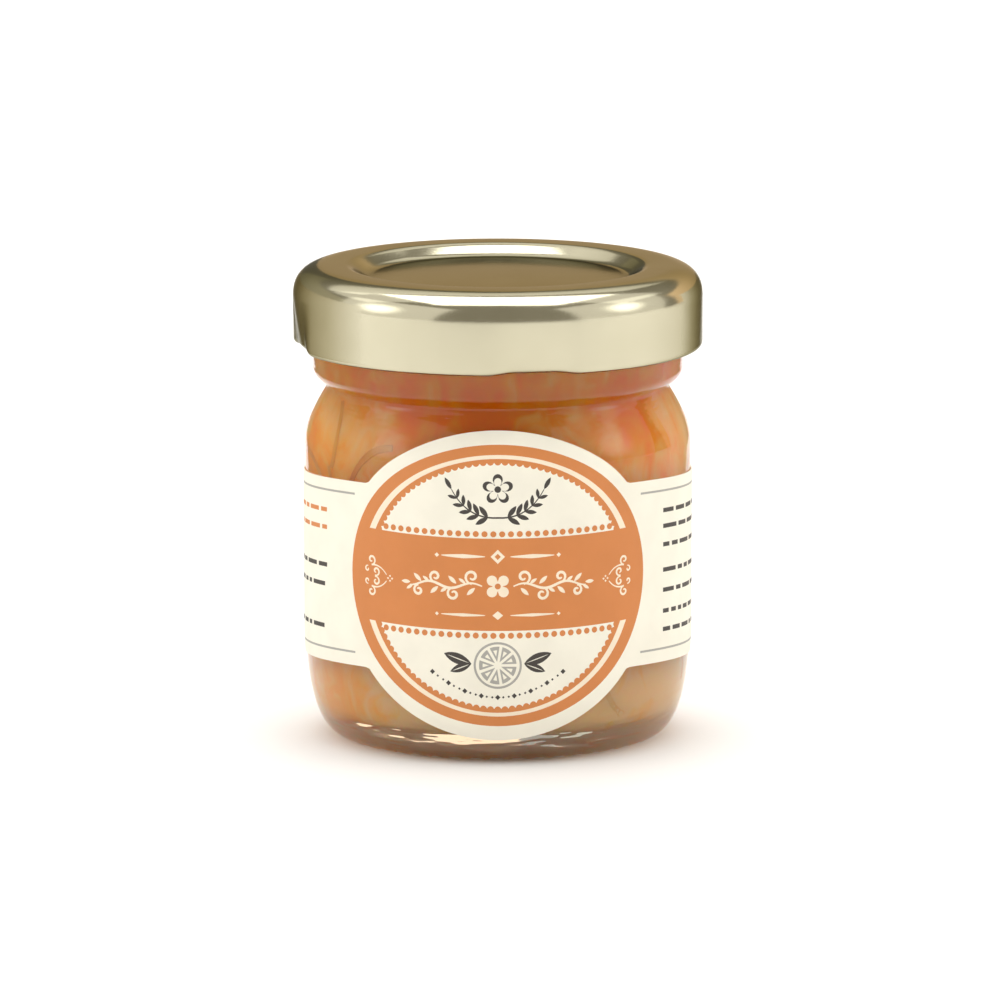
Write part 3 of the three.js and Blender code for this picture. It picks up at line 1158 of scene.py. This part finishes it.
# %% Small bars on the sides
BAR_THICKNESS = 0.5
RIGHT_ROWS = dict.fromkeys((27.1, 25.3, 23.2, 20.3, 18.0, 15.6, 13.5), "dark")
LEFT_ROWS = {27.0: "orange", 25.0: "orange", 20.7: "dark", 18.5: "dark", 13.7: "dark"}
bars = random.Random(5)


def bar_rows(start, end, rows):
    for height, ink in rows.items():
        way = start
        while way < end - 1.0:
            stop = min(way + bars.uniform(0.9, 3.4), end)
            low = height + sink(start if start > 0 else end)
            lay(ink, bar(way, stop, low, low + BAR_THICKNESS, lambda x: -sink(x)), follow=False)
            way = stop + 0.6


bar_rows(22.1, 47.0, RIGHT_ROWS)
bar_rows(-48.0, -23.3, LEFT_ROWS)
print("layers in all", len(layers))

# %% [markdown]
# Now the collage is cut into one sheet. A constrained Delaunay triangulation takes every outline as a
# set of edges that must survive, adds loose points on a grid so that the sheet can bend, and reports
# which outlines cover each triangle. The highest of them gives the triangle its ink.
# The flat sheet then goes through a tree that thickens it, wraps it on the glass and hands out the inks.

# %% Cut the sheet
GRID_ACROSS = 1.15
GRID_UP = 1.5
GRID_MARGIN = 0.5


def cut_sheet(name):
    places, faces, ink_of = [], [], []
    for ink, shape in layers:
        first = len(places)
        places += [Vector(at) for at in shape]
        faces.append(list(range(first, len(places))))
        ink_of.append(list(INKS).index(ink))
    columns = round(2 * HALF_LENGTH / GRID_ACROSS)
    for column in range(1, columns):
        way = -HALF_LENGTH + 2 * HALF_LENGTH * column / columns
        low, high = label_bottom(way), label_top(way)
        rows = max(2, round((high - low) / GRID_UP))
        for row in range(1, rows):
            height = low + (high - low) * row / rows
            if min(height - low, high - height) > GRID_MARGIN:
                places.append(Vector((way, height)))
    found, _, cut, _, _, covers = delaunay_2d_cdt(places, [], faces, 1, 1e-5)
    kept, inks = [], []
    for face, cover in zip(cut, covers):
        if cover:
            kept.append(face)
            inks.append(ink_of[max(cover)])
    mesh = bpy.data.meshes.new(name)
    mesh.from_pydata([(place.x * MM, 0, place.y * MM) for place in found], [], kept)
    mesh.attributes.new("ink", "INT", "FACE").data.foreach_set("value", inks)
    print(name, "is cut into", len(kept), "pieces from", len(places), "points")
    return mesh


flat_label = cut_sheet("flat label")
facing = sum(face.normal.y * face.area for face in flat_label.polygons)
if facing > 0:
    flat_label.flip_normals()

# %% Thicken, wrap and ink the sheet


def label_tree():
    tree, start, end = new_tree("Paste the label", {"Gap": "float", "Paper": "float"})
    flat = start.outputs["Geometry"]
    out = together(tree, y=times(tree, start.outputs["Paper"], -1))
    push = {"Mesh": flat, "Offset": out, "Individual": False}
    front = add(tree, "GeometryNodeExtrudeMesh", push, mode="FACES").outputs[0]
    back = add(tree, "GeometryNodeFlipFaces", {0: flat}).outputs[0]
    both = add(tree, "GeometryNodeJoinGeometry")
    tree.links.new(back, both.inputs[0])
    tree.links.new(front, both.inputs[0])
    weld = {0: both.outputs[0], "Distance": 1e-7}
    sheet = add(tree, "GeometryNodeMergeByDistance", weld).outputs[0]
    inked = wrapped(tree, held_off(tree, sheet, start.outputs["Gap"]), ON_GLASS)
    ink = add(tree, "GeometryNodeInputNamedAttribute", {"Name": "ink"}, data_type="INT").outputs[0]
    same = {"data_type": "INT", "operation": "EQUAL"}
    for number, material in enumerate(INKS.values()):
        this = add(tree, "FunctionNodeCompare", {2: ink, 3: number}, **same).outputs[0]
        share = {0: inked, "Selection": this, "Material": material}
        inked = add(tree, "GeometryNodeSetMaterial", share).outputs[0]
    finished(tree, inked, None, end)
    return tree


label = run_tree("label_sheet", flat_label, label_tree(), {"Gap": 0.06 * MM, "Paper": 0.14 * MM})
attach(label, "root")
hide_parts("label")

# %% [markdown]
# Two rows of round beads edge the orange band. They are all alike and evenly spaced, which is work for
# a tree: each row is a line, the line becomes a set number of points, a thin round spot goes on each,
# and the whole row is wrapped on the jar with the group from before.

# %% Print the beads


def bead_tree():
    inputs = {"Beads": "int", "Bead Radius": "float", "Ink": "float", "Proud": "float"}
    tree, start, end = new_tree("Rows of beads", {**inputs, "Material": "material"})
    rows = add(tree, "GeometryNodeMeshToCurve", {0: start.outputs["Geometry"]}).outputs[0]
    count = {0: rows, "Count": start.outputs["Beads"]}
    spots = add(tree, "GeometryNodeCurveToPoints", count, mode="COUNT").outputs[0]
    disc = {"Vertices": 16, "Radius": start.outputs["Bead Radius"], "Depth": start.outputs["Ink"]}
    spot = add(tree, "GeometryNodeMeshCylinder", disc).outputs[0]
    stood_up = {"Geometry": spot, "Rotation": (math.pi / 2, 0, 0)}
    upright = add(tree, "GeometryNodeTransform", stood_up).outputs[0]
    each = {"Points": spots, "Instance": upright}
    row = add(tree, "GeometryNodeInstanceOnPoints", each).outputs[0]
    real = add(tree, "GeometryNodeRealizeInstances", {0: row}).outputs[0]
    pasted = wrapped(tree, held_off(tree, real, start.outputs["Proud"]), ON_GLASS)
    finished(tree, pasted, start.outputs["Material"], end)
    return tree


BEAD_ROWS = (26.45, 14.95)
BEAD_REACH = 13.25


def bead_lines():
    lines = []
    for height in BEAD_ROWS:
        ways = [BEAD_REACH * (2 * step / 40 - 1) for step in range(41)]
        lines.append([(way * MM, 0, (height + rise(way)) * MM) for way in ways])
    return lines


beads = run_tree(
    "label_beads",
    line_mesh("bead rows", bead_lines()),
    bead_tree(),
    {
        "Beads": 28,
        "Bead Radius": 0.34 * MM,
        "Ink": 0.03 * MM,
        "Proud": 0.2 * MM,
        "Material": INKS["orange"],
    },
)
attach(beads, "root")
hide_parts("label")

# %% [markdown]
# A product table is pale and plain. Glass and metal show mostly what stands round them, so the lights
# are big soft panels: a wall on each side with a brighter, soft-edged window in it, some overhead and
# behind, and a gap in front that stays darker. Two cards that fade to olive draw the edges of the lid
# and the glass. The front fill and the backdrop wash are hidden from reflections.

# %% Floor and lights
floor_material, tree, surface = shader("pale floor", Base_Color=(0.82, 0.82, 0.82, 1), Roughness=0.7)
floor_mesh = bpy.data.meshes.new("floor")
FLOOR = 3.0
floor_mesh.from_pydata(
    [(-FLOOR, -FLOOR, 0), (FLOOR, -FLOOR, 0), (FLOOR, FLOOR, 0), (-FLOOR, FLOOR, 0)],
    [],
    [(0, 1, 2, 3)],
)
floor = bpy.data.objects.new("floor", floor_mesh)
floor.data.materials.append(floor_material)
bpy.context.scene.collection.objects.link(floor)

JAR_MIDDLE = Vector((0, 0, 0.026))
CARD_END = 0.45
CARD_TOP = 0.07
CARD_FADE = 0.17


def soft_panel(name, bearing, climb, distance, size, brightness, colour=(1, 1, 1)):
    turn, tilt = math.radians(bearing), math.radians(climb)
    level = math.cos(tilt)
    toward = Vector((math.sin(turn) * level, -math.cos(turn) * level, math.sin(tilt)))
    lamp = bpy.data.lights.new(name, "AREA")
    lamp.shape = "RECTANGLE"
    lamp.size, lamp.size_y = size
    lamp.energy = brightness * 4 * size[0] * size[1]
    lamp.color = colour
    holder = bpy.data.objects.new(name, lamp)
    holder.location = JAR_MIDDLE + toward * distance
    holder.rotation_euler = toward.to_track_quat("Z", "Y").to_euler()
    holder.visible_camera = False
    bpy.context.scene.collection.objects.link(holder)
    return holder


def fade_edges(holder):
    holder.data.use_nodes = True
    tree = holder.data.node_tree
    ends = {0: add(tree, "ShaderNodeNewGeometry").outputs["Parametric"], 1: (0.5, 0.5, 0)}
    off = add(tree, "ShaderNodeVectorMath", ends, operation="DISTANCE").outputs["Value"]
    tree.links.new(fading(tree, off, 0.12, 0.5), tree.nodes["Emission"].inputs["Strength"])


def olive_card(name, across, nearest):
    material, tree, surface = shader(name, Base_Color=(0, 0, 0, 1), Emission_Strength=1.25)
    behind = ranged(tree, own_axes(tree)[1], nearest, nearest + CARD_FADE, 0.0, 1.0)
    shade = ramp(
        tree,
        behind,
        [
            (0.0, (1.0, 0.98, 0.94)),
            (0.22, (0.62, 0.58, 0.46)),
            (0.5, (0.43, 0.38, 0.26)),
            (1.0, (0.27, 0.22, 0.12)),
        ],
    )
    tree.links.new(shade, surface.inputs["Emission Color"])
    mesh = bpy.data.meshes.new(name)
    ends = [(nearest, MM), (CARD_END, MM), (CARD_END, CARD_TOP), (nearest, CARD_TOP)]
    mesh.from_pydata([(across, y, z) for y, z in ends], [], [(0, 1, 2, 3)])
    card = bpy.data.objects.new(name, mesh)
    card.data.materials.append(material)
    card.visible_camera = False
    card.visible_diffuse = False
    card.visible_shadow = False
    card.visible_transmission = False
    bpy.context.scene.collection.objects.link(card)


olive_card("left card", -0.085, -0.026)
olive_card("right card", 0.1, 0.05)

soft_panel("left wall", -66, 22, 0.8, (1.0, 0.7), 0.56)
soft_panel("right wall", 76, 22, 0.8, (1.0, 0.7), 0.52)
fade_edges(soft_panel("left window", -72, 20, 0.79, (0.5, 0.5), 1.4))
fade_edges(soft_panel("right window", 78, 20, 0.79, (0.45, 0.5), 1.4))
soft_panel("top panel", 0, 90, 1.5, (1.6, 1.5), 2.3)
soft_panel("back panel", 196, 46, 1.3, (1.5, 0.5), 0.66)
soft_panel("high left panel", -105, 50, 1.4, (0.9, 0.9), 0.5)
soft_panel("high right panel", 100, 50, 1.4, (0.9, 0.9), 0.5)
soft_panel("warm wall", 152, 12, 1.6, (2.0, 0.75), 0.68, (1, 0.68, 0.38))
soft_panel("olive wall", 226, 14, 1.6, (2.0, 0.8), 0.14, (1, 0.95, 0.6))
front_fill = soft_panel("front fill", -4, 12, 1.3, (0.9, 0.5), 0.58)
backdrop_wash = soft_panel("backdrop wash", 180, 40, 2.0, (2.4, 1.2), 1.3)
for wash in (front_fill, backdrop_wash):
    wash.visible_glossy = False
    wash.visible_transmission = False

world = bpy.data.worlds.new("studio")
world.use_nodes = True
sky = world.node_tree.nodes["Background"]
sky.inputs["Color"].default_value = (1, 0.94, 0.8, 1)
sky.inputs["Strength"].default_value = 0.34
bpy.context.scene.world = world
bpy.context.scene.view_settings.view_transform = "Standard"
print("lights", len(bpy.data.lights))
